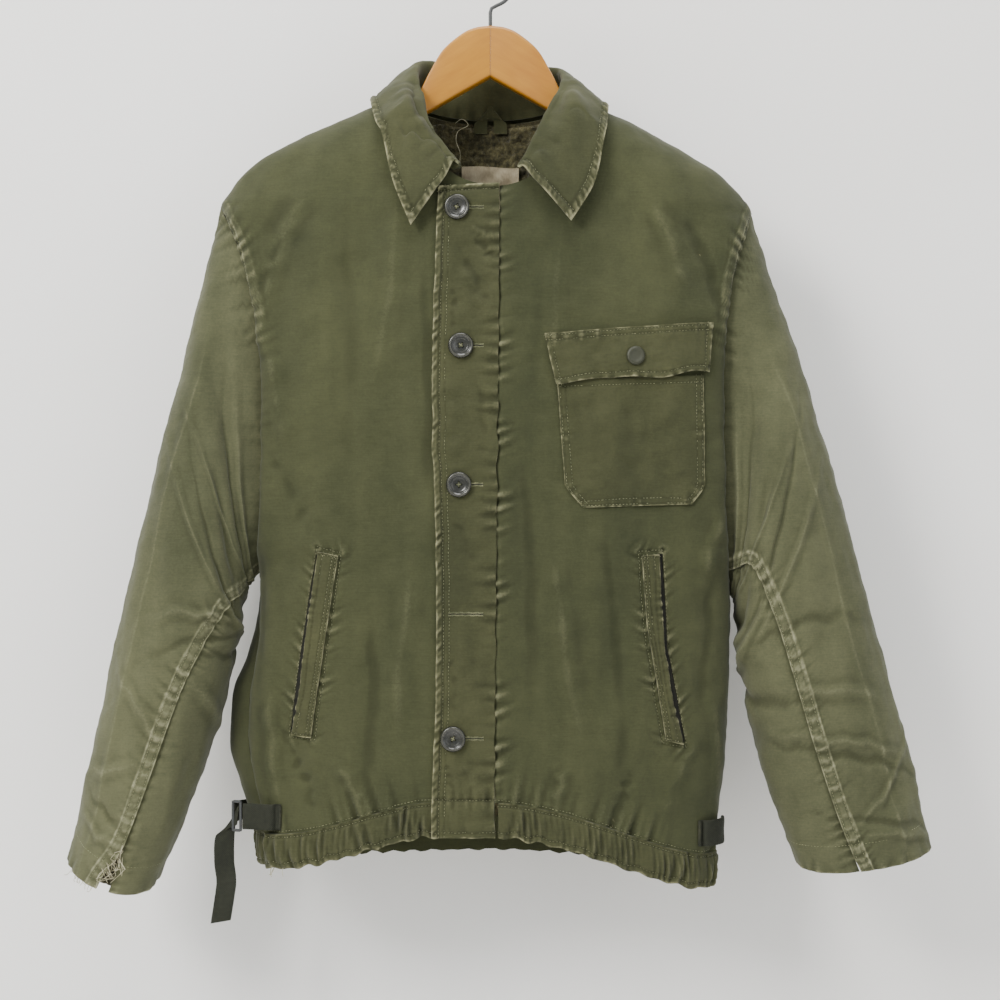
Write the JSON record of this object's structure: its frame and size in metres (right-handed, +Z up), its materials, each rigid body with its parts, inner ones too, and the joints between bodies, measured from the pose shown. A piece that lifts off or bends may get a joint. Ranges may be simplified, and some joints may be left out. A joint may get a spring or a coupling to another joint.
{
  "type": "deck jacket on a hanger",
  "caption": "Faded olive cotton deck jacket with a buttoned storm flap and pile lining, on a wooden hanger.",
  "frame": {"origin": "inside top of the hanger's wire hook, where a rail would carry it", "axes": "+Z up; the jacket's front faces -Y; +X towards the wearer's left sleeve"},
  "size_m": [0.8133, 0.1622, 0.9136],
  "materials": {
    "shell_cotton": "faded satin cotton",
    "shell_trim": "faded cotton with pale worn edges",
    "webbing": "matt webbing",
    "pile_lining": "deep pile",
    "label_tape": "plain woven tape",
    "button_plastic": "satin",
    "painted_snap": "worn enamel",
    "beech": "clear varnish",
    "steel_wire": "dull"
  },
  "bodies": {
    "root": {"front_right": "shell_cotton", "front_left": "shell_cotton", "back": "shell_cotton", "hem_front_right": "shell_cotton", "hem_front_left": "shell_cotton", "hem_back": "shell_cotton", "sleeve_right_front": "shell_cotton", "sleeve_right_back": "shell_cotton", "sleeve_left_front": "shell_cotton", "sleeve_left_back": "shell_cotton", "collar": "shell_cotton", "placket": "shell_trim", "chest_pocket": "shell_trim", "chest_pocket_flap": "shell_trim", "lining_back": "pile_lining", "hanger_arm_right": "beech", "hanger_arm_left": "beech", "hanger_hook": "steel_wire", "adjuster_strap_right": "webbing", "adjuster_tail_right": "webbing", "adjuster_tab_left": "webbing", "adjuster_tab_right": "webbing", "locker_loop": "shell_trim", "welt_right": "shell_trim", "welt_left": "shell_trim", "adjuster_slide_right": "steel_wire", "neck_label": "label_tape", "chest_snap": "painted_snap", "button_1": "button_plastic", "button_2": "button_plastic", "button_3": "button_plastic", "button_4": "button_plastic"}
  },
  "joints": []
}
